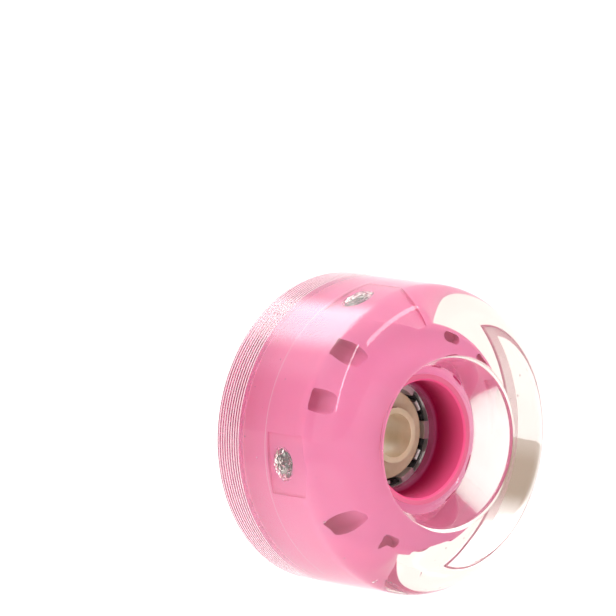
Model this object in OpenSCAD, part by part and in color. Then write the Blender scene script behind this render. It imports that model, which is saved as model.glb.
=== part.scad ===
// Light-up quad roller skate wheel: a clear cast tyre on a two-part plastic hub
// that holds a claw-pole generator, four LEDs and a magnetic axle spacer.
// Millimetres. The origin is the middle of the wheel, the axle lies along Y and
// the dished outer face looks towards -Y. Each piece is drawn about a Z axis and
// axle() lays that axis along +Y, so z in a module is y in the model.

/* [Tyre] */
// Diameter of the tread
tread_d = 58; // [56:0.5:64]
// Width of the wheel from face to face
wheel_w = 32; // [30:0.5:36]
// Radius of the tread's shoulder on the dished side
near_shoulder_r = 7; // [4:0.1:7.6]
// Distance from the dished face to the middle of that shoulder's arc
shoulder_setback = 7.7; // [7.2:0.1:9.5]
// Diameter of the dish at the face
mouth_d = 31.4; // [30:0.2:34]
// Radius of the lip round the dish
lip_r = 1; // [0.5:0.1:1.5]
// Diameter of the dish where it reaches the hub
dish_foot_d = 26.6; // [26:0.2:28]
// Length of hub that stands clear of the tyre in the dish
hub_stand = 0.6; // [0.3:0.1:1]
// Radius of the tread's shoulder on the flat side
far_shoulder_r = 0.8; // [0.5:0.1:1.5]
// Diameter of the opening in the flat side
far_mouth_d = 26; // [25.4:0.2:30]
// Number of fine grooves round the tread beside the flat side
groove_count = 6; // [1:1:10]
// Distance from groove to groove
groove_pitch = 0.65; // [0.5:0.05:0.9]
// Width of a groove at the tread
groove_w = 0.4; // [0.2:0.05:0.45]
// Depth of a groove
groove_depth = 0.2; // [0.1:0.05:0.4]
// Distance from the flat side to the first groove
groove_start = 1.2; // [1:0.1:3]

/* [Hub] */
// Depth of the hub's end below the dished face
hub_recess = 7.3; // [6.5:0.1:9]
// Outside diameter of the ball bearings
bearing_d = 22; // [21.6:0.1:22.4]
// Depth of each bearing seat
seat_depth = 7.3; // [7:0.1:8]
// Chamfer at the mouth of each bearing seat
seat_lead = 0.4; // [0.2:0.1:0.8]
// Wall round each bearing seat
seat_wall = 1.2; // [1:0.1:1.6]
// Height of the shoulder that each bearing stops against
shoulder_h = 1; // [0.6:0.1:1.2]
// Distance between the two bearing shoulders
shoulder_gap = 10; // [9.6:0.1:12]
// Thickness of the web behind each bearing shoulder
web_t = 1.5; // [1:0.1:1.6]
// Diameter of the hub's rim
rim_d = 41.6; // [40.6:0.2:44]
// How much smaller the back shell's rim is in radius
rim_step = 0.2; // [0.1:0.05:0.4]
// Width of the back shell's rim
back_rim_w = 5.7; // [4:0.1:6.4]
// Wall of both shells
hub_wall = 1.6; // [1.2:0.1:2]
// Slope of the front shell's flank from the wheel's plane
flank_deg = 29; // [18:1:32]
// Radius between the flank and the rim
rim_edge_r = 2.4; // [1:0.1:3]
// Radius of the rim's edge on the flat side
back_edge_r = 1; // [0.5:0.1:1.5]
// Length of straight hub between its near end and the flank
flank_land = 1.5; // [1:0.1:2]
// Length of straight hub between its far end and the back shell's flank
back_land = 0.8; // [0.5:0.1:1.2]
// Length of the back shell's spigot inside the front shell
spigot_l = 1.5; // [1:0.1:2]
// Thickness of that spigot
spigot_t = 1.1; // [0.8:0.1:1.4]
// Clearance round the spigot
spigot_gap = 0.1; // [0.05:0.05:0.2]
// Number of moulded ribs inside the back shell
rib_count = 6; // [4:1:8]
// Width of those ribs
rib_w = 1.2; // [0.8:0.1:2]
// Wall of the ring in the back shell that the generator sits in
pilot_t = 1.2; // [0.8:0.1:1.6]

/* [Anchor pockets] */
// Angle from an LED to the anchor pocket on either side of it
anchor_deg = 31.5; // [30:0.5:34]
// Size of an anchor pocket round the wheel
anchor_w = 3.9; // [3.4:0.1:5]
// Size of an anchor pocket across the flank
anchor_h = 1.8; // [1.6:0.1:2.4]
// Distance of an anchor pocket from the axle
anchor_r = 19.1; // [18.8:0.1:19.3]
// Depth of an anchor pocket below the near end of the hub
anchor_depth = 8; // [7.5:0.1:10]
// Wall round an anchor pocket
anchor_wall = 0.6; // [0.4:0.1:0.8]

/* [LEDs] */
// Number of LEDs
led_count = 4; // [4:4:4]
// Angle of the first LED about the axle
led_phase = 171; // [0:1:360]
// Width of the flat pocket round each LED
pocket_w = 10; // [8:0.1:10.4]
// Depth of that pocket below the rim
pocket_depth = 1.1; // [0.8:0.1:1.4]
// Distance from the parting line to the pocket
pocket_margin = 0.7; // [0.4:0.1:1]
// Distance from the parting line to the LED's axis
led_setback = 4.3; // [4.2:0.1:5]
// Diameter of an LED's lens
led_d = 5; // [4.6:0.1:5]
// Diameter of the flange on an LED's lens
led_flange_d = 5.8; // [5.6:0.1:6]
// Thickness of that flange
led_flange_t = 1; // [0.8:0.1:1.2]
// Height of an LED's dome
led_dome_h = 1.2; // [0.8:0.1:1.6]
// Clearance round the lens in the shell
led_gap = 0.15; // [0.1:0.05:0.2]
// Diameter of an LED's wire legs
leg_d = 0.5; // [0.4:0.05:0.6]
// Distance between an LED's two legs
leg_pitch = 2.54; // [2:0.02:2.6]
// Radius of the bend in a leg
leg_bend_r = 0.6; // [0.5:0.05:0.7]
// Height of an LED's two posts inside the lens
post_h = 1.8; // [1.4:0.1:2]
// Diameter of the reflector cup on one post
cup_d = 1.4; // [1:0.1:1.6]

/* [Generator] */
// Diameter of the two steel claw plates
stator_d = 27.6; // [27:0.1:28]
// Thickness of the claw plates
plate_t = 1; // [0.8:0.1:1.2]
// Thickness of the claws
claw_t = 0.6; // [0.5:0.05:1]
// Number of claws on each plate
claw_count = 6; // [4:1:8]
// Width of a claw at its root, in degrees at six claws to a plate
claw_root_deg = 20; // [16:1:21]
// Width of a claw at its tip, in degrees at six claws to a plate
claw_tip_deg = 12; // [8:1:12]
// Distance from a claw's tip to the far side of the generator
claw_tip_gap = 0.9; // [0.6:0.1:1.4]
// Gap between the claws and the turning magnet's cover
air_gap = 0.5; // [0.3:0.05:0.5]
// How far the claws lie inside the edge of the bearing's shoulder
claw_inset = 0.5; // [0.2:0.1:0.6]
// Distance from the claws out to the bore of their plate
plate_step = 0.4; // [0.2:0.1:0.6]
// How far the bobbin's ribs lie behind the claws' inner face
web_recess = 0.2; // [0.1:0.1:0.4]
// Width of those ribs, in degrees at six claws to a plate
web_deg = 7; // [4:1:8]
// Wall of the coil's bobbin
bobbin_wall = 0.6; // [0.5:0.1:0.8]
// Distance from the edge of the plates to the edge of the bobbin
bobbin_inset = 0.3; // [0.2:0.1:0.5]
// Distance from the edge of the bobbin to the copper
coil_inset = 0.4; // [0.2:0.1:0.6]
// Thickness of the LED board
board_t = 1; // [0.8:0.1:1.2]
// Clearance between the LED board and the LEDs' flanges
board_gap = 0.1; // [0.05:0.05:0.2]
// Diameter of the hole in the LED board
board_bore_d = 25.8; // [25.6:0.1:26.2]
// Clearance of a wire in its hole in the board
wire_gap = 0.1; // [0.05:0.05:0.15]
// Diameter of the coil's two lead wires
lead_d = 0.4; // [0.3:0.05:0.4]
// Distance from the edge of the plates to the lead wires
lead_out = 0.8; // [0.7:0.05:0.9]
// Angle between each lead and the middle of the gap between two LEDs
lead_deg = 6; // [4:1:8]
// Height of the solder on a wire below the board
solder_h = 0.5; // [0.3:0.1:0.6]
// Radius of that solder against the board
solder_r = 0.5; // [0.4:0.05:0.5]

/* [Spacer] */
// Diameter of the axle
axle_d = 8; // [7.8:0.1:8.2]
// Clearance between axle and spacer in radius
axle_gap = 0.1; // [0.05:0.05:0.2]
// Wall of the spacer's sleeve beside the magnet
sleeve_wall = 0.9; // [0.7:0.1:1.1]
// Diameter of the spacer's end bosses
boss_d = 10.4; // [10.2:0.1:12]
// Distance from the bearing's shoulder to the face of the magnet's cover
cover_recess = 2; // [1.6:0.1:2.4]
// Thickness of the magnet's plastic cover
cover_t = 0.8; // [0.6:0.1:1]
// Radius of the cover's edge
cover_edge_r = 0.4; // [0.2:0.1:0.6]

/* [Hidden] */
$fn = 96;

// How far a cut runs on past the face that it opens
cut_past = 1;
// How far a rib runs into the walls that it joins
rib_root = 0.5;

tread_r = tread_d / 2;
near_z = -wheel_w / 2;
far_z = wheel_w / 2;
hub_near_z = near_z + hub_recess;
front_shoulder_z = hub_near_z + seat_depth;
back_shoulder_z = front_shoulder_z + shoulder_gap;
hub_far_z = back_shoulder_z + seat_depth;
mid_z = (front_shoulder_z + back_shoulder_z) / 2;
stator_near_z = front_shoulder_z + web_t;
stator_far_z = back_shoulder_z - web_t;
parting_z = stator_far_z;
back_rim_z = parting_z + back_rim_w;

seat_r = bearing_d / 2;
step_r = seat_r - shoulder_h;
tube_r = seat_r + seat_wall;
rim_r = rim_d / 2;
back_rim_r = rim_r - rim_step;
inner_rim_r = rim_r - hub_wall;
flank_z = hub_near_z + flank_land;
back_flank_z = hub_far_z - back_land;

board_z = stator_near_z - board_t;
pocket_floor_r = rim_r - pocket_depth;
pocket_roof_r = pocket_floor_r - hub_wall;
pocket_z = parting_z - pocket_margin;
led_z = parting_z - led_setback;
led_base_r = pocket_roof_r - led_flange_t;
led_tip_r = pocket_floor_r + led_dome_h;
leg_r = led_base_r - leg_bend_r;
board_r = led_base_r - board_gap;

rotor_r = step_r - claw_t - air_gap - claw_inset;
claw_inner_r = rotor_r + air_gap;
claw_outer_r = claw_inner_r + claw_t;
stator_r = stator_d / 2;
bobbin_inner_r = claw_outer_r;
bobbin_outer_r = stator_r - bobbin_inset;
coil_inner_r = bobbin_inner_r + bobbin_wall;
coil_outer_r = bobbin_outer_r - coil_inset;
plate_bore_r = bobbin_inner_r + plate_step;
claw_step = 360 / claw_count;
lead_r = stator_r + lead_out;
axle_bore_r = axle_d / 2 + axle_gap;
sleeve_r = axle_bore_r + sleeve_wall;
magnet_r = rotor_r - cover_t;
cover_z = front_shoulder_z + cover_recess;
cover_far_z = back_shoulder_z - cover_recess;

// Lays a piece drawn about Z along the axle
module axle() {
    rotate([-90, 0, 0]) children();
}

module at_leds() {
    for (i = [0 : led_count - 1]) {
        rotate(led_phase + i * 360 / led_count) children();
    }
}

// The anchor pockets, one on either side of each LED
module at_anchors() {
    for (i = [0 : led_count - 1]) {
        for (s = [-1, 1]) {
            rotate(led_phase + i * 360 / led_count + s * anchor_deg) children();
        }
    }
}

// A ring from radius a to radius b, between two heights
module ring(a, b, z0, z1) {
    translate([0, 0, z0]) difference() {
        cylinder(r = b, h = z1 - z0);
        translate([0, 0, -cut_past]) cylinder(r = a, h = z1 - z0 + 2 * cut_past);
    }
}

// A straight round bar along +X from x0 to x1
module bar_x(d, x0, x1) {
    translate([x0, 0, 0]) rotate([0, 90, 0]) cylinder(d = d, h = x1 - x0);
}

// Section of the cast tyre from the axle side outwards, x is radius
module tyre_section() {
    shoulder = [tread_r - near_shoulder_r, near_z + shoulder_setback];
    lip = [mouth_d / 2 + lip_r, near_z + lip_r];
    run = shoulder - lip;
    lean = atan2(run[1], run[0]);
    spread = acos((near_shoulder_r - lip_r) / norm(run));
    side = lean + spread - 180;
    away = [cos(side), sin(side)];
    foot_r = dish_foot_d / 2;
    foot_z = hub_near_z + hub_stand;
    far_foot_z = min(hub_far_z, far_z);
    groove_past = groove_depth / 4;
    groove_half_w = groove_w / 2 * (groove_depth + groove_past) / groove_depth;
    difference() {
        union() {
            translate(shoulder) circle(near_shoulder_r);
            translate(lip) circle(lip_r);
            translate([tread_r - far_shoulder_r, far_z - far_shoulder_r]) circle(far_shoulder_r);
            polygon([
                [step_r, foot_z],
                [tube_r, foot_z],
                [foot_r, foot_z - (foot_r - tube_r)],
                [mouth_d / 2, lip[1]],
                lip,
                lip + lip_r * away,
                shoulder + near_shoulder_r * away,
                shoulder,
                [tread_r, shoulder[1]],
                [tread_r, far_z - far_shoulder_r],
                [tread_r - far_shoulder_r, far_z - far_shoulder_r],
                [tread_r - far_shoulder_r, far_z],
                [far_mouth_d / 2, far_z],
                [tube_r, far_foot_z],
                [step_r, far_foot_z]]);
        }
        for (i = [0 : groove_count - 1]) {
            translate([tread_r, far_z - groove_start - i * groove_pitch]) polygon([
                [-groove_depth, 0],
                [groove_past, -groove_half_w],
                [groove_past, groove_half_w]]);
        }
    }
}

// Outside of the front shell from the axis, x is radius
module front_outline() {
    edge_r = rim_r - rim_edge_r * (1 - sin(flank_deg));
    edge_z = flank_z + (edge_r - tube_r) * tan(flank_deg);
    corner = [rim_r - rim_edge_r, edge_z + rim_edge_r * cos(flank_deg)];
    translate(corner) circle(rim_edge_r);
    polygon([
        [0, hub_near_z],
        [tube_r, hub_near_z],
        [tube_r, flank_z],
        [edge_r, edge_z],
        corner,
        [rim_r, corner[1]],
        [rim_r, parting_z],
        [0, parting_z]]);
}

// Outside of the back shell from the axis, x is radius
module back_outline() {
    corner = [back_rim_r - back_edge_r, back_rim_z];
    translate(corner) circle(back_edge_r);
    polygon([
        [0, parting_z],
        [back_rim_r, parting_z],
        [back_rim_r, back_rim_z],
        corner,
        [corner[0], back_rim_z + back_edge_r],
        [tube_r, back_flank_z],
        [tube_r, hub_far_z],
        [0, hub_far_z]]);
}

// Flat-bottomed pocket round an LED, open towards the flank
module pocket_space() {
    translate([pocket_floor_r, -pocket_w / 2, flank_z])
        cube([pocket_depth + cut_past, pocket_w, pocket_z - flank_z]);
}

// Oval with its long side round the wheel, grown by a wall
module anchor_oval(wall) {
    r = anchor_h / 2 + wall;
    off = (anchor_w - anchor_h) / 2;
    for (s = [-1, 1]) {
        translate([anchor_r, s * off]) circle(r);
    }
    translate([anchor_r - r, -off]) square([2 * r, 2 * off]);
}

module anchor_space() {
    translate([0, 0, hub_near_z]) linear_extrude(anchor_depth) anchor_oval(0);
}

// Section of one lens from its own axis, y is distance from the axle
module lens_section() {
    dome_r = (pow(led_d / 2, 2) + pow(led_dome_h, 2)) / (2 * led_dome_h);
    translate([0, led_base_r]) square([led_flange_d / 2, led_flange_t]);
    intersection() {
        translate([0, led_tip_r - dome_r]) circle(dome_r);
        translate([0, led_base_r]) square([led_d / 2, led_tip_r - led_base_r]);
    }
}

// One lens, flange inwards, with its dome towards +X
module lens_body() {
    translate([0, 0, led_z]) rotate([0, 90, 0]) rotate_extrude() lens_section();
}

// The two posts that stand inside a lens, one with a reflector cup
module lens_posts() {
    translate([0, 0, led_z]) {
        for (s = [-1, 1]) {
            translate([0, s * leg_pitch / 2, 0]) bar_x(leg_d, leg_r + leg_bend_r, led_base_r + post_h);
        }
        translate([0, -leg_pitch / 2, 0]) bar_x(cup_d, led_base_r + post_h - leg_d, led_base_r + post_h + leg_d);
    }
}

// A wire that runs along X at height z, turns down at r_out and is soldered under the
// board. It comes from further out, or from the axle's side where inward is true
module board_wire(d, r_out, bend, z, inward = false) {
    translate([r_out, 0, z - bend]) rotate(inward ? 180 : 0) rotate([90, 0, 0])
        translate([bend, 0, 0]) rotate(90) rotate_extrude(angle = 90) translate([bend, 0]) circle(d = d);
    translate([r_out, 0, z - bend]) rotate([180, 0, 0]) cylinder(d = d, h = z - bend - board_z + solder_h);
    translate([r_out, 0, board_z - solder_h])
        cylinder(r1 = (d / 2 + solder_r) / 2, r2 = solder_r, h = solder_h);
}

// The whole hub as the tyre is cast round it
module hub_body() {
    difference() {
        union() {
            rotate_extrude() front_outline();
            rotate_extrude() back_outline();
        }
        at_leds() pocket_space();
        at_anchors() anchor_space();
    }
    at_leds() lens_body();
}

// Clear cast urethane, keyed into the anchor pockets
module tyre() {
    color("lavenderblush", 0.35) axle() difference() {
        rotate_extrude() tyre_section();
        hub_body();
    }
}

// Bearing seat, web and bore, cut from either end of the hub, x is radius
module seat_section(end_z, shoulder_z, inner_z) {
    dir = sign(shoulder_z - end_z);
    polygon([
        [0, end_z - dir * cut_past],
        [seat_r + seat_lead + cut_past, end_z - dir * cut_past],
        [seat_r + seat_lead, end_z],
        [seat_r, end_z + dir * seat_lead],
        [seat_r, shoulder_z],
        [step_r, shoulder_z],
        [step_r, inner_z + dir * cut_past],
        [0, inner_z + dir * cut_past]]);
}

module hub_front_shell() {
    slant = hub_wall / cos(flank_deg);
    inner_z = flank_z + slant + (inner_rim_r - tube_r) * tan(flank_deg);
    color("hotpink") axle() difference() {
        rotate_extrude() front_outline();
        difference() {
            rotate_extrude() polygon([
                [tube_r, flank_z + slant],
                [inner_rim_r, inner_z],
                [inner_rim_r, parting_z + cut_past],
                [0, parting_z + cut_past],
                [0, stator_near_z],
                [tube_r, stator_near_z]]);
            at_leds() translate([pocket_roof_r, -pocket_w / 2 - hub_wall, hub_near_z])
                cube([rim_r, pocket_w + 2 * hub_wall, parting_z - hub_near_z + 2 * cut_past]);
            at_anchors() translate([0, 0, hub_near_z])
                linear_extrude(anchor_depth + hub_wall) anchor_oval(anchor_wall);
        }
        rotate_extrude() seat_section(hub_near_z, front_shoulder_z, stator_near_z);
        at_leds() pocket_space();
        at_anchors() anchor_space();
        at_leds() translate([0, 0, led_z])
            bar_x(led_d + 2 * led_gap, pocket_roof_r - cut_past, rim_r + cut_past);
    }
}

// Section of the back shell: tube, web, pilot for the generator, rim and spigot, x is radius
module back_section(inner_r, roof_z, roof_in_z) {
    pilot_r = stator_r + spigot_gap;
    spigot_r = inner_rim_r - spigot_gap;
    corner = [back_rim_r - back_edge_r, back_rim_z];
    translate(corner) circle(back_edge_r);
    polygon([
        [step_r, stator_far_z],
        [pilot_r, stator_far_z],
        [pilot_r, parting_z - spigot_l],
        [pilot_r + pilot_t, parting_z - spigot_l],
        [pilot_r + pilot_t, back_shoulder_z],
        [tube_r, back_shoulder_z],
        [tube_r, roof_in_z],
        [inner_r, roof_z],
        [inner_r, back_shoulder_z],
        [spigot_r - spigot_t, back_shoulder_z],
        [spigot_r - spigot_t, parting_z - spigot_l],
        [spigot_r, parting_z - spigot_l],
        [spigot_r, parting_z],
        [back_rim_r, parting_z],
        [back_rim_r, back_rim_z],
        corner,
        [corner[0], back_rim_z + back_edge_r],
        [tube_r, back_flank_z],
        [tube_r, hub_far_z],
        [seat_r + seat_lead, hub_far_z],
        [seat_r, hub_far_z - seat_lead],
        [seat_r, back_shoulder_z],
        [step_r, back_shoulder_z]]);
}

module hub_back_shell() {
    inner_r = back_rim_r - hub_wall;
    fall = (back_flank_z - back_rim_z - back_edge_r) / (back_rim_r - back_edge_r - tube_r);
    roof_in_z = back_flank_z - hub_wall * sqrt(1 + fall * fall);
    roof_z = roof_in_z - (inner_r - tube_r) * fall;
    key_w = pocket_w + 2 * hub_wall + 2 * spigot_gap;
    key_r = inner_rim_r - spigot_gap - spigot_t - cut_past;
    color("palevioletred") axle() {
        difference() {
            rotate_extrude() back_section(inner_r, roof_z, roof_in_z);
            at_leds() translate([key_r, -key_w / 2, parting_z - spigot_l - cut_past])
                cube([spigot_t + 2 * cut_past, key_w, spigot_l + cut_past + spigot_gap]);
        }
        for (i = [0 : rib_count - 1]) {
            rotate(led_phase + (i + 0.5) * 360 / rib_count) rotate([90, 0, 0])
                linear_extrude(rib_w, center = true) polygon([
                    [tube_r - rib_root, parting_z + web_t / 2],
                    [inner_r + rib_root, parting_z + web_t / 2],
                    [inner_r + rib_root, roof_z + rib_root],
                    [tube_r - rib_root, roof_in_z + rib_root]]);
        }
    }
}

// Tapered claws bent up from a flat plate that lies at z = 0
module claw_plate_form() {
    length = stator_far_z - stator_near_z - claw_tip_gap;
    share = 6 / claw_count;
    root_w = claw_outer_r * 2 * sin(claw_root_deg * share / 2);
    tip_w = claw_outer_r * 2 * sin(claw_tip_deg * share / 2);
    ring(plate_bore_r, stator_r, 0, plate_t);
    intersection() {
        union() {
            ring(claw_inner_r, claw_outer_r, 0, length);
            ring(claw_inner_r, plate_bore_r + plate_step, 0, plate_t);
        }
        for (i = [0 : claw_count - 1]) {
            rotate(i * claw_step) rotate([90, 0, 90]) linear_extrude(stator_r) polygon([
                [-root_w / 2, -cut_past],
                [root_w / 2, -cut_past],
                [root_w / 2, plate_t],
                [tip_w / 2, length],
                [-tip_w / 2, length],
                [-root_w / 2, plate_t]]);
        }
    }
}

module front_claw_plate() {
    color("silver") axle() translate([0, 0, stator_near_z]) claw_plate_form();
}

module back_claw_plate() {
    color("silver") axle() translate([0, 0, stator_far_z]) rotate(claw_step / 2) mirror([0, 0, 1]) claw_plate_form();
}

module coil_bobbin() {
    z0 = stator_near_z + plate_t;
    z1 = stator_far_z - plate_t;
    web_r = claw_inner_r + web_recess;
    spread = web_deg * 6 / claw_count;
    color("black") axle() {
        rotate_extrude() polygon([
            [bobbin_inner_r, z0],
            [bobbin_outer_r, z0],
            [bobbin_outer_r, z0 + bobbin_wall],
            [coil_inner_r, z0 + bobbin_wall],
            [coil_inner_r, z1 - bobbin_wall],
            [bobbin_outer_r, z1 - bobbin_wall],
            [bobbin_outer_r, z1],
            [bobbin_inner_r, z1]]);
        for (i = [0 : 2 * claw_count - 1]) {
            rotate((i + 0.5) * claw_step / 2 - spread / 2) translate([0, 0, z0]) rotate_extrude(angle = spread)
                translate([web_r, 0]) square([bobbin_inner_r + bobbin_wall / 2 - web_r, z1 - z0]);
        }
    }
}

module coil_winding() {
    color("chocolate") axle() ring(coil_inner_r, coil_outer_r,
        stator_near_z + plate_t + bobbin_wall, stator_far_z - plate_t - bobbin_wall);
}

module at_coil_leads() {
    for (s = [-1, 1]) {
        rotate(led_phase + 180 / led_count + s * lead_deg) children();
    }
}

module led_board() {
    color("seagreen") axle() difference() {
        ring(board_bore_d / 2, board_r, board_z, stator_near_z);
        at_leds() for (s = [-1, 1]) {
            translate([leg_r, s * leg_pitch / 2, board_z - cut_past])
                cylinder(d = leg_d + 2 * wire_gap, h = board_t + 2 * cut_past);
        }
        at_coil_leads() translate([lead_r, 0, board_z - cut_past])
            cylinder(d = lead_d + 2 * wire_gap, h = board_t + 2 * cut_past);
    }
}

module coil_lead(side) {
    color("chocolate") axle() rotate(led_phase + 180 / led_count + side * lead_deg) {
        board_wire(lead_d, lead_r, lead_d, mid_z, inward = true);
        translate([lead_r - lead_d, 0, mid_z]) rotate([0, -90, 0])
            cylinder(d = lead_d, h = lead_r - lead_d - coil_outer_r);
    }
}

module coil_lead_start() {
    coil_lead(-1);
}

module coil_lead_finish() {
    coil_lead(1);
}

module led_lens(i) {
    color("white", 0.6) axle() rotate(led_phase + i * 360 / led_count) difference() {
        lens_body();
        lens_posts();
    }
}

module led_legs(i) {
    color("lightgray") axle() rotate(led_phase + i * 360 / led_count) {
        lens_posts();
        for (s = [-1, 1]) {
            translate([0, s * leg_pitch / 2, 0]) board_wire(leg_d, leg_r, leg_bend_r, led_z);
        }
    }
}

module magnet_ring() {
    color("dimgray") axle() ring(sleeve_r, magnet_r, cover_z + cover_t, cover_far_z - cover_t);
}

// One half of the spacer with its parting face at z = 0, x is radius
module spacer_half_form() {
    cover_l = mid_z - cover_z;
    end_l = mid_z - front_shoulder_z;
    rotate_extrude() {
        translate([rotor_r - cover_edge_r, cover_l - cover_edge_r]) circle(cover_edge_r);
        polygon([
            [axle_bore_r, 0],
            [sleeve_r, 0],
            [sleeve_r, cover_l - cover_t],
            [magnet_r, cover_l - cover_t],
            [magnet_r, 0],
            [rotor_r, 0],
            [rotor_r, cover_l - cover_edge_r],
            [rotor_r - cover_edge_r, cover_l - cover_edge_r],
            [rotor_r - cover_edge_r, cover_l],
            [boss_d / 2, cover_l],
            [boss_d / 2, end_l],
            [axle_bore_r, end_l]]);
    }
}

module spacer_front_half() {
    color("antiquewhite") axle() translate([0, 0, mid_z]) mirror([0, 0, 1]) spacer_half_form();
}

module spacer_back_half() {
    color("wheat") axle() translate([0, 0, mid_z]) spacer_half_form();
}

tyre();
hub_front_shell();
hub_back_shell();
front_claw_plate();
back_claw_plate();
coil_bobbin();
coil_winding();
led_board();
coil_lead_start();
coil_lead_finish();
led_lens(0);  // led_lens_1
led_lens(1);  // led_lens_2
led_lens(2);  // led_lens_3
led_lens(3);  // led_lens_4
led_legs(0);  // led_legs_1
led_legs(1);  // led_legs_2
led_legs(2);  // led_legs_3
led_legs(3);  // led_legs_4
magnet_ring();
spacer_front_half();
spacer_back_half();
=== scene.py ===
import math
import bmesh
import bpy
from mathutils import Matrix, Vector, geometry, noise


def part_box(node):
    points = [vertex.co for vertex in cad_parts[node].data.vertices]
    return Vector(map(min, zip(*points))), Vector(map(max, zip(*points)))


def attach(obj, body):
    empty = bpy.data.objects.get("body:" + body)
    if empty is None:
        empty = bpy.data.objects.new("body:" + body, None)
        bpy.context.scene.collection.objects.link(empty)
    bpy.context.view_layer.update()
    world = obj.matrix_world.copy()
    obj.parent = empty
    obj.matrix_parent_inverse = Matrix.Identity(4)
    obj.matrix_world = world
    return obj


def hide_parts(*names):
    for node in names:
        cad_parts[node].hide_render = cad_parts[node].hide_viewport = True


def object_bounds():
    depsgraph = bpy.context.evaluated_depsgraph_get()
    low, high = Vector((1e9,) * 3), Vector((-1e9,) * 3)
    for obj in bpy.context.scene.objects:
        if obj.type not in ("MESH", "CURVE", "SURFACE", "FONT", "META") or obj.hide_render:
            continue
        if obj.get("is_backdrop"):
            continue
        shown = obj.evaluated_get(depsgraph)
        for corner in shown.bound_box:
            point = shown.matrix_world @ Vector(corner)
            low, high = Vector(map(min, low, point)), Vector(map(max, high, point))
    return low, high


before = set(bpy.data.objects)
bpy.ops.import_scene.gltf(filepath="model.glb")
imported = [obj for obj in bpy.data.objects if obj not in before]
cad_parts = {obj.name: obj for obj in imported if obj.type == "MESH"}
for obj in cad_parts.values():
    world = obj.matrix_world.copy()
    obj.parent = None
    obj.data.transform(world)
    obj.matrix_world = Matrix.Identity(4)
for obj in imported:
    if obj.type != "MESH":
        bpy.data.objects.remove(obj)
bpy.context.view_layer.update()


# Magnet ring
# A ring of ferrite that the axle holds still inside the spacer. It is moulded from
# dark powder, so it is matt, grainy and nearly black.
MM = 0.001
most_noise_from, most_noise_to = 0.3, 0.7


def new_finish(name, colour, roughness, metallic=0.0):
    """A named material with its main values set on the shader's own sockets."""
    finish = bpy.data.materials.new(name)
    finish.use_nodes = True
    shader = finish.node_tree.nodes["Principled BSDF"]
    shader.inputs["Base Color"].default_value = (*colour, 1.0)
    shader.inputs["Roughness"].default_value = roughness
    shader.inputs["Metallic"].default_value = metallic
    return finish, finish.node_tree, shader


def grain(tree, size, detail=3.0):
    """Noise with patches of about the given size in metres, fixed to the piece."""
    place = tree.nodes.new("ShaderNodeTexCoord")
    texture = tree.nodes.new("ShaderNodeTexNoise")
    texture.inputs["Scale"].default_value = 1.0 / size
    texture.inputs["Detail"].default_value = detail
    tree.links.new(place.outputs["Object"], texture.inputs["Vector"])
    return texture.outputs["Fac"]


def tint(tree, shader, pattern, low, high):
    """Runs the base colour from low to high over a pattern."""
    shades = tree.nodes.new("ShaderNodeValToRGB")
    first, last = shades.color_ramp.elements
    first.position, first.color = most_noise_from, (*low, 1.0)
    last.position, last.color = most_noise_to, (*high, 1.0)
    tree.links.new(pattern, shades.inputs["Fac"])
    tree.links.new(shades.outputs["Color"], shader.inputs["Base Color"])


def relief(tree, shader, pattern, depth):
    """Raises the surface by depth metres over a pattern."""
    bump = tree.nodes.new("ShaderNodeBump")
    bump.inputs["Distance"].default_value = depth
    tree.links.new(pattern, bump.inputs["Height"])
    tree.links.new(bump.outputs["Normal"], shader.inputs["Normal"])


def dress(finish, *names):
    """Gives CAD nodes their finish."""
    for name in names:
        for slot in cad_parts[name].material_slots:
            slot.material = finish


ferrite, tree, shader = new_finish("ferrite", (0.05, 0.048, 0.045), 0.7)
powder = grain(tree, 0.3 * MM)
tint(tree, shader, powder, (0.035, 0.034, 0.032), (0.07, 0.067, 0.062))
relief(tree, shader, powder, 0.01 * MM)
dress(ferrite, "magnet_ring")


# Spacer halves
# Two mouldings in natural, cream nylon that snap together round the magnet. The
# plastic lets a little light in, and its faces keep the satin finish of the mould.
def ramp(tree, value, start, end, low=0.0, high=1.0, kind="SMOOTHSTEP"):
    """Goes from low to high as the value goes from start to end."""
    step = tree.nodes.new("ShaderNodeMapRange")
    step.interpolation_type = kind
    for name, level in [
            ("From Min", start), ("From Max", end), ("To Min", low), ("To Max", high)]:
        step.inputs[name].default_value = level
    tree.links.new(value, step.inputs["Value"])
    return step.outputs["Result"]


def vary_gloss(tree, shader, pattern, low, high):
    """Runs the roughness from low to high over a pattern."""
    gloss = ramp(tree, pattern, most_noise_from, most_noise_to, low, high, "LINEAR")
    tree.links.new(gloss, shader.inputs["Roughness"])


cream, tree, shader = new_finish("cream_nylon", (0.62, 0.5, 0.36), 0.42)
shader.inputs["Subsurface Weight"].default_value = 0.35
shader.inputs["Subsurface Radius"].default_value = (1.0, 0.7, 0.45)
shader.inputs["Subsurface Scale"].default_value = 1.8 * MM
tint(tree, shader, grain(tree, 3 * MM), (0.58, 0.47, 0.31), (0.7, 0.58, 0.41))
vary_gloss(tree, shader, grain(tree, 0.8 * MM), 0.36, 0.5)
relief(tree, shader, grain(tree, 0.15 * MM), 0.004 * MM)
dress(cream, "spacer_front_half", "spacer_back_half")


# Coil bobbin
# A black glass-filled nylon reel. Its ribs fill the gaps between the steel claws,
# and the glass fibres leave its faces slightly mottled.
nylon, tree, shader = new_finish("black_nylon", (0.012, 0.01, 0.01), 0.6)
shader.inputs["Specular IOR Level"].default_value = 0.25
tint(tree, shader, grain(tree, 1.5 * MM), (0.008, 0.007, 0.007), (0.02, 0.016, 0.016))
vary_gloss(tree, shader, grain(tree, 0.5 * MM), 0.52, 0.68)
relief(tree, shader, grain(tree, 0.12 * MM), 0.006 * MM)
dress(nylon, "coil_bobbin")


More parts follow.
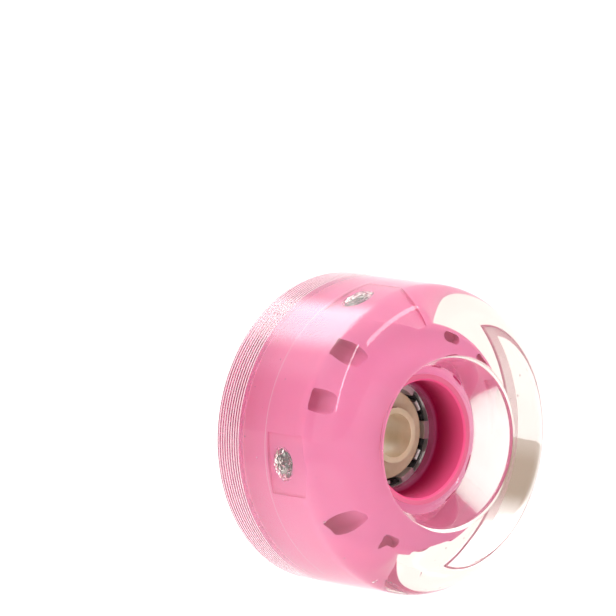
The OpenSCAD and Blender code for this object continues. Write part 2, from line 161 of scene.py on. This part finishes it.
# Coil winding and its two ends
# Enamelled copper wire, wound in flat layers on the bobbin. Its two ends go down
# through the board and are soldered there.
wire_pitch = 0.2 * MM
plain_wave = math.pi / 10
enamel, tree, shader = new_finish("copper_enamel", (0.52, 0.2, 0.07), 0.3, 0.9)
place = tree.nodes.new("ShaderNodeTexCoord")
turns = tree.nodes.new("ShaderNodeTexWave")
turns.bands_direction = "Y"
turns.inputs["Scale"].default_value = plain_wave / wire_pitch
tree.links.new(place.outputs["Object"], turns.inputs["Vector"])
tint(tree, shader, turns.outputs["Fac"], (0.38, 0.13, 0.04), (0.62, 0.26, 0.1))
relief(tree, shader, turns.outputs["Fac"], 0.05 * MM)
dress(enamel, "coil_winding", "coil_lead_start", "coil_lead_finish")


# Claw plates
# Two pressed steel plates with six tapered claws each, bent up so that they mesh
# round the magnet. They are nickel plated and show faint marks of the press.
nickel, tree, shader = new_finish("nickel_plate", (0.74, 0.72, 0.71), 0.36, 0.88)
tint(tree, shader, grain(tree, 2 * MM), (0.68, 0.66, 0.65), (0.8, 0.78, 0.77))
vary_gloss(tree, shader, grain(tree, 0.6 * MM), 0.28, 0.44)
relief(tree, shader, grain(tree, 0.2 * MM), 0.005 * MM)
dress(nickel, "front_claw_plate", "back_claw_plate")


# LED board
# A ring of glass-fibre board under green lacquer, punched to fit between the
# generator and the front shell. The weave of the glass shows faintly.
thread_w = 0.8 * MM
lacquer, tree, shader = new_finish("green_lacquer", (0.02, 0.16, 0.06), 0.32)
place = tree.nodes.new("ShaderNodeTexCoord")
weave = tree.nodes.new("ShaderNodeTexBrick")
weave.inputs["Scale"].default_value = 1.0 / thread_w
weave.inputs["Color1"].default_value = (0.02, 0.17, 0.06, 1.0)
weave.inputs["Color2"].default_value = (0.03, 0.21, 0.08, 1.0)
weave.inputs["Mortar"].default_value = (0.015, 0.12, 0.05, 1.0)
turn = tree.nodes.new("ShaderNodeMapping")
turn.inputs["Rotation"].default_value = (math.pi / 2, 0.0, 0.0)
tree.links.new(place.outputs["Object"], turn.inputs["Vector"])
tree.links.new(turn.outputs["Vector"], weave.inputs["Vector"])
tree.links.new(weave.outputs["Color"], shader.inputs["Base Color"])
relief(tree, shader, weave.outputs["Fac"], 0.01 * MM)
dress(lacquer, "led_board")


# LED lenses
# Clear cast epoxy with a domed end. The tyre's resin has pulled away from two of the
# domes and wrinkled, so they glitter, and it clings to the other two, which hardly
# show in it.
led_count = 4
lenses = [f"led_lens_{i + 1}" for i in range(led_count)]
loose_count = 2
for name, index, group in [
        ("clear_epoxy", 1.53, lenses[:loose_count]),
        ("epoxy_in_resin", 1.03, lenses[loose_count:])]:
    epoxy, tree, shader = new_finish(name, (0.97, 0.95, 0.94), 0.03)
    shader.inputs["Transmission Weight"].default_value = 1.0
    shader.inputs["IOR"].default_value = index
    vary_gloss(tree, shader, grain(tree, 1.2 * MM), 0.02, 0.12)
    relief(tree, shader, grain(tree, 0.7 * MM, 2.0), 0.12 * MM)
    dress(epoxy, *group)


# LED legs
# Tin-plated steel wire, with a reflector cup pressed on one leg of each pair inside
# the lens. The legs bend down and are soldered to the board.
tin, tree, shader = new_finish("tin_plate", (0.78, 0.78, 0.76), 0.25, 1.0)
tint(tree, shader, grain(tree, 0.8 * MM), (0.7, 0.7, 0.68), (0.84, 0.84, 0.82))
vary_gloss(tree, shader, grain(tree, 0.4 * MM), 0.18, 0.36)
dress(tin, *[f"led_legs_{i + 1}" for i in range(led_count)])


# Hub shells
# Two mouldings in pink nylon, pressed together at the parting line round the
# generator. Under the resin they look pale, with a painted highlight along the joint
# and painted shade on the flank, which is a little darker than the rim. Bare, they are
# a deep pink, with painted shade that darkens it down the bearing seats.
def blend(tree, share, first, second):
    """Mixes two colours, each an output or three numbers, by a share from 0 to 1."""
    mix = tree.nodes.new("ShaderNodeMix")
    mix.data_type = "RGBA"
    tree.links.new(share, mix.inputs["Factor"])
    for name, colour in [("A", first), ("B", second)]:
        if isinstance(colour, bpy.types.NodeSocket):
            tree.links.new(colour, mix.inputs[name])
        else:
            mix.inputs[name].default_value = (*colour, 1.0)
    return mix.outputs["Result"]


def worked_out(tree, operation, *values):
    """The result of one operation on values or on other nodes' outputs."""
    sum_node = tree.nodes.new("ShaderNodeMath")
    sum_node.operation = operation
    for socket, value in zip(sum_node.inputs, values):
        if isinstance(value, bpy.types.NodeSocket):
            tree.links.new(value, socket)
        else:
            socket.default_value = value
    return sum_node.outputs[0]


def piece_place(tree):
    """A point's place on the piece, and the same as X, Y and Z."""
    place = tree.nodes.new("ShaderNodeTexCoord").outputs["Object"]
    split = tree.nodes.new("ShaderNodeSeparateXYZ")
    tree.links.new(place, split.inputs[0])
    return place, split.outputs


tube_r = 12.2 * MM
tube_skin = 0.05 * MM
parting_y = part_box("hub_front_shell")[1].y
joint_highlight_half_w = 0.12 * MM
flank_end_r, rim_start_r = 19.4 * MM, 20.4 * MM
between_seats_y = 3.6 * MM
seat_foot, seat_mouth = 5.6 * MM, 12.3 * MM
shoulder_in_r, shoulder_out_r = 10.3 * MM, 10.9 * MM
seat_edge_r, end_face_r = 11.1 * MM, 11.5 * MM
shell_pink, tree, shader = new_finish("pink_moulding", (0.9, 0.25, 0.45), 0.36)
shader.inputs["Specular IOR Level"].default_value = 0.15
shader.inputs["Subsurface Weight"].default_value = 0.25
shader.inputs["Subsurface Radius"].default_value = (1.0, 0.35, 0.5)
shader.inputs["Subsurface Scale"].default_value = 1.0 * MM
place, along = piece_place(tree)
flatten = tree.nodes.new("ShaderNodeVectorMath")
flatten.operation = "MULTIPLY"
flatten.inputs[1].default_value = (1.0, 0.0, 1.0)
tree.links.new(place, flatten.inputs[0])
length = tree.nodes.new("ShaderNodeVectorMath")
length.operation = "LENGTH"
tree.links.new(flatten.outputs[0], length.inputs[0])
radius = length.outputs["Value"]

streaks = grain(tree, 9 * MM)
on_rim = blend(tree, streaks, (0.96, 0.25, 0.495), (1.0, 0.29, 0.535))
# Painted shade: the flank is a little darker than the rim, for the weaker light from the
# front.
flank_with_painted_shade = blend(tree, streaks, (0.87, 0.22, 0.465), (0.92, 0.265, 0.505))
past_flank = ramp(tree, radius, flank_end_r, rim_start_r)
in_resin = blend(tree, past_flank, flank_with_painted_shade, on_rim)
# A painted highlight: a pale line along the parting line of the shells.
joint_highlight = worked_out(tree, "COMPARE", along["Y"], parting_y, joint_highlight_half_w)
in_resin = blend(tree, joint_highlight, in_resin, (1.0, 0.6, 0.74))

# Painted shade: the bare pink darkens down each bearing seat towards its foot, and is
# darkest inside the shoulder.
from_middle = worked_out(tree, "SUBTRACT", along["Y"], between_seats_y)
off_middle = worked_out(tree, "ABSOLUTE", from_middle)
seat_shade_share = ramp(tree, off_middle, seat_foot, seat_mouth)
bare_with_painted_shade = blend(tree, seat_shade_share, (0.3, 0.005, 0.05), (0.8, 0.085, 0.24))
shoulder_shade_share = ramp(tree, radius, shoulder_in_r, shoulder_out_r)
bare_with_painted_shade = blend(tree, shoulder_shade_share, (0.34, 0.06, 0.14), bare_with_painted_shade)
on_end = ramp(tree, radius, seat_edge_r, end_face_r)
bare_with_painted_shade = blend(tree, on_end, bare_with_painted_shade, (0.68, 0.135, 0.25))
covered = ramp(tree, radius, tube_r - tube_skin, tube_r + 2 * tube_skin)
tree.links.new(blend(tree, covered, bare_with_painted_shade, in_resin), shader.inputs["Base Color"])
vary_gloss(tree, shader, grain(tree, 1.0 * MM), 0.3, 0.42)
relief(tree, shader, grain(tree, 0.2 * MM), 0.004 * MM)
dress(shell_pink, "hub_front_shell", "hub_back_shell")


# Clear tyre
# Water-clear urethane cast round the hub in an open mould. It runs into the LED
# pockets and the eight oval anchor pockets, which key it to the hub, and holds a
# few fine bubbles. The far edge of the tread is turned with fine grooves.
tyre_low, tyre_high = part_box("tyre")
tread_r = tyre_high.z
near_y = tyre_low.y
far_y = tyre_high.y
hub_near_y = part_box("hub_front_shell")[0].y
hub_far_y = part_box("hub_back_shell")[1].y
rim_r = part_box("hub_front_shell")[1].z
shoulder_r = 7.0 * MM
shoulder_setback = 7.7 * MM
mouth_r = 15.7 * MM
lip_r = 1.0 * MM
foot_r = 13.3 * MM
hub_stand = 0.6 * MM
far_mouth_r = 13.0 * MM
far_edge_r = 0.8 * MM
groove_count = 9
groove_start = 0.9 * MM
groove_pitch = 0.66 * MM
groove_half_w = 0.12 * MM
groove_white_w = 0.8 * groove_half_w
groove_depth = 0.07 * MM
flank_land = 1.5 * MM
flank_deg = 29
flank_slope = math.tan(math.radians(flank_deg))
rim_round = 1.41 * MM
back_rim_w = 6.7 * MM
back_rim_round = 0.84 * MM
back_land = 0.8 * MM
sunk = 0.15 * MM
round_steps = 12
turn_steps = 200
weld = 0.001 * MM

# The corners of the section, as radius, place along the axle and length of the
# rounding, from the foot of the dish outwards and back along the hub
lip_centre = Vector((mouth_r + lip_r, near_y + lip_r, 0.0))
shoulder_centre = Vector((tread_r - shoulder_r, near_y + shoulder_setback, 0.0))
run = shoulder_centre - lip_centre
side = math.atan2(run.y, run.x) + math.acos((shoulder_r - lip_r) / run.length) - math.pi
away = Vector((math.cos(side), math.sin(side), 0.0))
face_start = lip_centre + lip_r * away
face_end = shoulder_centre + shoulder_r * away
foot = Vector((foot_r, hub_near_y + hub_stand - (foot_r - tube_r), 0.0))
dish_lip = Vector((mouth_r, lip_centre.y, 0.0))
lip_corner = geometry.intersect_line_line(foot, dish_lip, face_start, face_end)[0]
tread_line = Vector((tread_r, near_y, 0.0)), Vector((tread_r, far_y, 0.0))
tread_corner = geometry.intersect_line_line(face_start, face_end, *tread_line)[0]
flank_y = hub_near_y + flank_land
core_r = tube_r - sunk
rim_in = rim_r - 2 * sunk
corners = [
    (core_r, hub_near_y + hub_stand, 0.0),
    (tube_r, hub_near_y + hub_stand, 0.0),
    (foot.x, foot.y, 0.0),
    (lip_corner.x, lip_corner.y, (lip_corner - face_start).length),
    (tread_corner.x, tread_corner.y, (tread_corner - face_end).length),
]
for i in reversed(range(groove_count)):
    groove_y = far_y - groove_start - i * groove_pitch
    corners += [
        (tread_r, groove_y - groove_half_w, 0.0),
        (tread_r - groove_depth, groove_y, 0.0),
        (tread_r, groove_y + groove_half_w, 0.0),
    ]
corners += [
    (tread_r, far_y, far_edge_r),
    (far_mouth_r, far_y, 0.0),
    (core_r, hub_far_y - sunk, 0.0),
    (core_r, hub_far_y - back_land - sunk, 0.0),
    (rim_in, parting_y + back_rim_w - sunk, back_rim_round),
    (rim_in, flank_y + (rim_in - core_r) * flank_slope + sunk, rim_round),
    (core_r, flank_y + sunk, 0.0),
]

cast = bmesh.new()
outline = [cast.verts.new((r, y, 0.0)) for r, y, _ in corners]
cast.faces.new(outline)
for corner, (_, _, rounding) in zip(outline, corners):
    if rounding > 0.0:
        bmesh.ops.bevel(
            cast, geom=[corner], offset=rounding, affect="VERTICES",
            segments=round_steps, profile=0.5, material=-1)
bmesh.ops.delete(cast, geom=cast.faces[:], context="FACES_ONLY")
bmesh.ops.spin(
    cast, geom=cast.verts[:] + cast.edges[:], cent=(0.0, 0.0, 0.0), axis=(0.0, 1.0, 0.0),
    angle=2 * math.pi, steps=turn_steps, use_merge=True)
bmesh.ops.remove_doubles(cast, verts=cast.verts[:], dist=weld)
bmesh.ops.recalc_face_normals(cast, faces=cast.faces[:])


def mesh_object(name, shape):
    """Puts a bmesh into a new object at the origin."""
    mesh = bpy.data.meshes.new(name)
    shape.to_mesh(mesh)
    shape.free()
    made = bpy.data.objects.new(name, mesh)
    bpy.context.scene.collection.objects.link(made)
    return made


def about_axle(degrees):
    """The turn that takes +X to a station of the hub."""
    return Matrix.Rotation(math.radians(degrees), 4, "Y")


# What the resin fills besides: LED pockets and anchor pockets, a little too big so
# that no film of air is left against the shells
led_phase = 171
pocket_floor_r = rim_r - 1.1 * MM
pocket_top_r = rim_r + 1.5 * MM
pocket_w = 10.0 * MM
pocket_y = parting_y - 0.7 * MM
led_y = parting_y - 4.3 * MM
anchor_deg = 31.5
anchor_r = 19.1 * MM
anchor_w = 3.9 * MM
anchor_h = 1.8 * MM
anchor_floor_y = hub_near_y + 8.0 * MM
anchor_steps = 10
reach = anchor_h / 2 + sunk
end_round = 0.98 * reach

keys = bmesh.new()
for i in range(led_count):
    for off in (-anchor_deg, 0.0, anchor_deg):
        key = bmesh.new()
        if off == 0.0:
            low = Vector((pocket_floor_r - sunk, flank_y, -pocket_w / 2 - sunk))
            high = Vector((pocket_top_r, pocket_y + sunk, pocket_w / 2 + sunk))
        else:
            low = Vector((anchor_r - reach, flank_y, -anchor_w / 2 - sunk))
            high = Vector((anchor_r + reach, anchor_floor_y + sunk, anchor_w / 2 + sunk))
        bmesh.ops.create_cube(key, size=1.0)
        bmesh.ops.scale(key, verts=key.verts[:], vec=high - low)
        bmesh.ops.translate(key, verts=key.verts[:], vec=(high + low) / 2)
        if off != 0.0:
            upright = [
                edge for edge in key.edges
                if abs(edge.verts[0].co.y - edge.verts[1].co.y) > reach]
            bmesh.ops.bevel(
                key, geom=upright, offset=end_round, affect="EDGES",
                segments=anchor_steps, profile=0.5, material=-1)
        station = about_axle(led_phase + i * 90 + off)
        bmesh.ops.transform(key, verts=key.verts[:], matrix=station)
        loose = bpy.data.meshes.new("key")
        key.to_mesh(loose)
        key.free()
        keys.from_mesh(loose)

# The wrinkled skin of resin round the domes that it has pulled away from
skin_size = Vector((1.6, 2.5, 2.7)) * MM
fold_w = 0.9 * MM
fold_h = 0.3 * MM
crease_share = 3.1
crease_h = 0.16 * MM
next_skin = Vector((7.0, 0.0, 0.0))
skin_r = pocket_floor_r - 0.2 * MM
skins = bmesh.new()
for i in range(loose_count):
    skin = bmesh.new()
    bmesh.ops.create_icosphere(skin, subdivisions=5, radius=1.0)
    bmesh.ops.scale(skin, verts=skin.verts[:], vec=skin_size)
    for vert in skin.verts:
        spot = vert.co / fold_w + i * next_skin
        wrinkle = noise.noise(spot) * fold_h + noise.noise(spot * crease_share) * crease_h
        vert.co += vert.co.normalized() * wrinkle
    bmesh.ops.translate(skin, verts=skin.verts[:], vec=(skin_r, led_y, 0.0))
    bmesh.ops.transform(skin, verts=skin.verts[:], matrix=about_axle(led_phase + i * 90))
    loose = bpy.data.meshes.new("skin")
    skin.to_mesh(loose)
    skin.free()
    skins.from_mesh(loose)

tyre = mesh_object("tyre_cast", cast)
for name, shape, operation in [("keys", keys, "UNION"), ("skins", skins, "DIFFERENCE")]:
    cutter = mesh_object(name, shape)
    step = tyre.modifiers.new(name, "BOOLEAN")
    step.operation = operation
    step.object = cutter
    step.solver = "EXACT"
    bpy.context.view_layer.update()
    worked = tyre.evaluated_get(bpy.context.evaluated_depsgraph_get())
    made = bpy.data.meshes.new_from_object(worked)
    tyre.modifiers.clear()
    tyre.data = made
    bpy.data.objects.remove(cutter)

# Fine bubbles, scattered through the resin by a golden angle and by steps that never
# fall in a row
finished = bmesh.new()
finished.from_mesh(tyre.data)
bubble_count = 46
golden = math.radians(137.508)
step_out, step_along, step_in_size = 0.618034, 0.754878, 0.569840
bubble_low_r, bubble_high_r = rim_r + 0.8 * MM, tread_r - 0.8 * MM
bubble_near_y, bubble_far_y = -8.0 * MM, 14.0 * MM
bubble_small, bubble_big = 0.05 * MM, 0.18 * MM
for i in range(bubble_count):
    out, back, fat = (i * step % 1.0 for step in (step_out, step_along, step_in_size))
    bubble_r = bubble_low_r + out * (bubble_high_r - bubble_low_r)
    bubble_y = bubble_near_y + back * (bubble_far_y - bubble_near_y)
    size = bubble_small + fat * (bubble_big - bubble_small)
    spot = Matrix.Translation((
        bubble_r * math.cos(i * golden), bubble_y, bubble_r * math.sin(i * golden)))
    ball = bmesh.ops.create_icosphere(finished, subdivisions=2, radius=size, matrix=spot)
    hollow = list({face for vert in ball["verts"] for face in vert.link_faces})
    bmesh.ops.reverse_faces(finished, faces=hollow)

# The grooved band gets the turned finish, and hard edges stay sharp
turned_from = far_y - groove_start - groove_count * groove_pitch
turned_in_r = tread_r - 1.5 * groove_depth
end_facing = 0.9
sharp = math.radians(30)
for face in finished.faces:
    face.smooth = True
    middle = face.calc_center_median()
    on_tread = math.hypot(middle.x, middle.z) > turned_in_r
    if on_tread and middle.y > turned_from and abs(face.normal.y) < end_facing:
        face.material_index = 1
for edge in finished.edges:
    edge.smooth = edge.calc_face_angle(0.0) < sharp
finished.to_mesh(tyre.data)
finished.free()
even = tyre.modifiers.new("even_shading", "WEIGHTED_NORMAL")
even.keep_sharp = True

urethane, tree, shader = new_finish("clear_urethane", (1.0, 0.985, 0.975), 0.0)
shader.inputs["Transmission Weight"].default_value = 1.0
shader.inputs["IOR"].default_value = 1.5
tint(tree, shader, grain(tree, 12 * MM), (1.0, 0.985, 0.975), (1.0, 0.995, 0.99))
vary_gloss(tree, shader, grain(tree, 10 * MM), 0.03, 0.06)
relief(tree, shader, grain(tree, 7 * MM, 1.0), 0.02 * MM)
turned, tree, shader = new_finish("turned_urethane", (1.0, 0.9, 0.93), 0.3)
shader.inputs["IOR"].default_value = 1.5
_, along = piece_place(tree)
from_groove = worked_out(tree, "SUBTRACT", along["Y"], far_y - groove_start)
to_groove = worked_out(tree, "PINGPONG", from_groove, groove_pitch / 2)
for name, in_groove, between in [
        ("Transmission Weight", 0.4, 0.98), ("Roughness", 0.6, 0.05)]:
    change = ramp(
        tree, to_groove, groove_white_w, groove_half_w, in_groove, between, "LINEAR")
    tree.links.new(change, shader.inputs[name])
for finish in (urethane, turned):
    nodes, links = finish.node_tree.nodes, finish.node_tree.links
    amber = nodes.new("ShaderNodeVolumeAbsorption")
    amber.inputs["Color"].default_value = (0.66, 0.46, 0.34, 1.0)
    amber.inputs["Density"].default_value = 13.0
    links.new(amber.outputs["Volume"], nodes["Material Output"].inputs["Volume"])
    tyre.data.materials.append(finish)
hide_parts("tyre")
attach(tyre, "wheel")


# Floor
# A plain pale studio table that glows from beneath, with a painted pool of light most
# under the wheel's left, so that shadows stay faint.
table_half = 4.0
glow_pool_middle = (-0.07, -0.02, tyre_low.z)
glow_pool_in, glow_pool_out = 0.03, 0.13
floor_shape = bmesh.new()
bmesh.ops.create_grid(floor_shape, x_segments=4, y_segments=4, size=table_half)
bmesh.ops.translate(floor_shape, verts=floor_shape.verts[:], vec=(0.0, 0.0, tyre_low.z))
floor = mesh_object("floor", floor_shape)
table, tree, shader = new_finish("glowing_table", (0.42, 0.42, 0.42), 0.7)
shader.inputs["Emission Color"].default_value = (1.0, 0.99, 0.98, 1.0)
place, _ = piece_place(tree)
from_lamp = tree.nodes.new("ShaderNodeVectorMath")
from_lamp.operation = "DISTANCE"
from_lamp.inputs[1].default_value = glow_pool_middle
tree.links.new(place, from_lamp.inputs[0])
# Painted light: the table's glow is strongest in a pool under the wheel's left.
painted_glow = ramp(tree, from_lamp.outputs["Value"], glow_pool_in, glow_pool_out, low=1.25, high=0.46)
tree.links.new(painted_glow, shader.inputs["Emission Strength"])
floor.data.materials.append(table)
floor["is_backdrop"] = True


# Light
# A soft white studio: a white ceiling over pale walls that are brightest behind the
# wheel, a big diffused window behind it, a tall strip lamp at the camera's left and a
# long one above the dished side.
world = bpy.data.worlds.new("studio")
bpy.context.scene.world = world
world.use_nodes = True
tree = world.node_tree
direction = tree.nodes.new("ShaderNodeTexCoord")
split = tree.nodes.new("ShaderNodeSeparateXYZ")
tree.links.new(direction.outputs["Generated"], split.inputs["Vector"])
around_sky = worked_out(tree, "ARCTAN2", split.outputs["X"], split.outputs["Y"])
height = split.outputs["Z"]


def patch(middle, half, edge, low, low_edge, high, high_edge):
    """A soft-edged part of the room, round from the back and up from the floor."""
    from_middle = worked_out(tree, "SUBTRACT", around_sky, middle)
    off_middle = worked_out(tree, "ABSOLUTE", from_middle)
    across = ramp(tree, off_middle, half - edge, half + edge, low=1.0, high=0.0)
    foot = ramp(tree, height, low - low_edge, low + low_edge)
    head = ramp(tree, height, high - high_edge, high + high_edge, low=1.0, high=0.0)
    return worked_out(tree, "MULTIPLY", across, worked_out(tree, "MULTIPLY", foot, head))


dim_wall = patch(
    middle=-0.8, half=0.5, edge=0.14, low=-0.5, low_edge=0.1, high=0.48, high_edge=0.08)
foot_light = ramp(tree, height, start=0.0, end=0.2, low=0.75, high=1.0)
dim_wall = worked_out(tree, "MULTIPLY", dim_wall, foot_light)
room = tree.nodes["Background"]
walls = blend(tree, dim_wall, (1.0, 0.99, 0.97), (0.4, 0.33, 0.25))
tree.links.new(walls, room.inputs["Color"])
ceiling = ramp(tree, height, start=0.5, end=1.0, low=0.0, high=0.4)
depth = ramp(tree, split.outputs["Y"], start=-0.97, end=-0.5, low=0.65, high=1.3)
tree.links.new(worked_out(tree, "ADD", ceiling, depth), room.inputs["Strength"])

window_radiance = 5.0
lit_window = patch(
    middle=0.02, half=0.3, edge=0.14, low=0.43, low_edge=0.13, high=0.84, high_edge=0.1)
window_light = worked_out(tree, "MULTIPLY", lit_window, window_radiance)
window = tree.nodes.new("ShaderNodeBackground")
window.inputs["Color"].default_value = (1.0, 0.99, 0.98, 1.0)
tree.links.new(window_light, window.inputs["Strength"])
both = tree.nodes.new("ShaderNodeAddShader")
tree.links.new(room.outputs[0], both.inputs[0])
tree.links.new(window.outputs[0], both.inputs[1])
tree.links.new(both.outputs[0], tree.nodes["World Output"].inputs["Surface"])

for name, spot, width, length, power in [
        ("tall_strip_lamp", (-1.12, -1.12, 1.3), 0.12, 1.7, 6.5),
        ("long_strip_lamp", (0.27, -0.93, 1.52), 1.3, 0.32, 8.0)]:
    strip = bpy.data.lights.new(name, "AREA")
    strip.shape = "RECTANGLE"
    strip.size = width
    strip.size_y = length
    strip.energy = power
    stand = bpy.data.objects.new(name, strip)
    stand.location = spot
    stand.rotation_euler = (-stand.location).to_track_quat("-Z", "Y").to_euler()
    bpy.context.scene.collection.objects.link(stand)


# Camera
# It looks at the dished side from the left and a little above, far enough away that
# the wheel shows little perspective. The wheel sits low and right in the picture.
picture_px = 616
px_per_m = 5380.0
wheel_px = (390.0, 434.5)
distance = 1.4
around = math.radians(-42.7)
above = math.radians(8.1)
back = Vector((
    math.sin(around) * math.cos(above),
    -math.cos(around) * math.cos(above),
    math.sin(above)))
right = Vector((math.cos(around), math.sin(around), 0.0))
up = back.cross(right)
aim = (
    up * (wheel_px[1] - picture_px / 2) / px_per_m
    - right * (wheel_px[0] - picture_px / 2) / px_per_m)
lens = bpy.data.cameras.new("camera")
lens.sensor_width = 36.0
lens.lens = px_per_m * distance * lens.sensor_width / picture_px
lens.clip_start = 0.01
camera = bpy.data.objects.new("camera", lens)
bpy.context.scene.collection.objects.link(camera)
camera.location = back * distance
camera.rotation_euler = (aim - camera.location).to_track_quat("-Z", "Y").to_euler()
resin_bounces = 24
scene = bpy.context.scene
scene.camera = camera
scene.view_settings.view_transform = "Standard"
scene.cycles.max_bounces = resin_bounces
scene.cycles.transmission_bounces = resin_bounces

low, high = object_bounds()
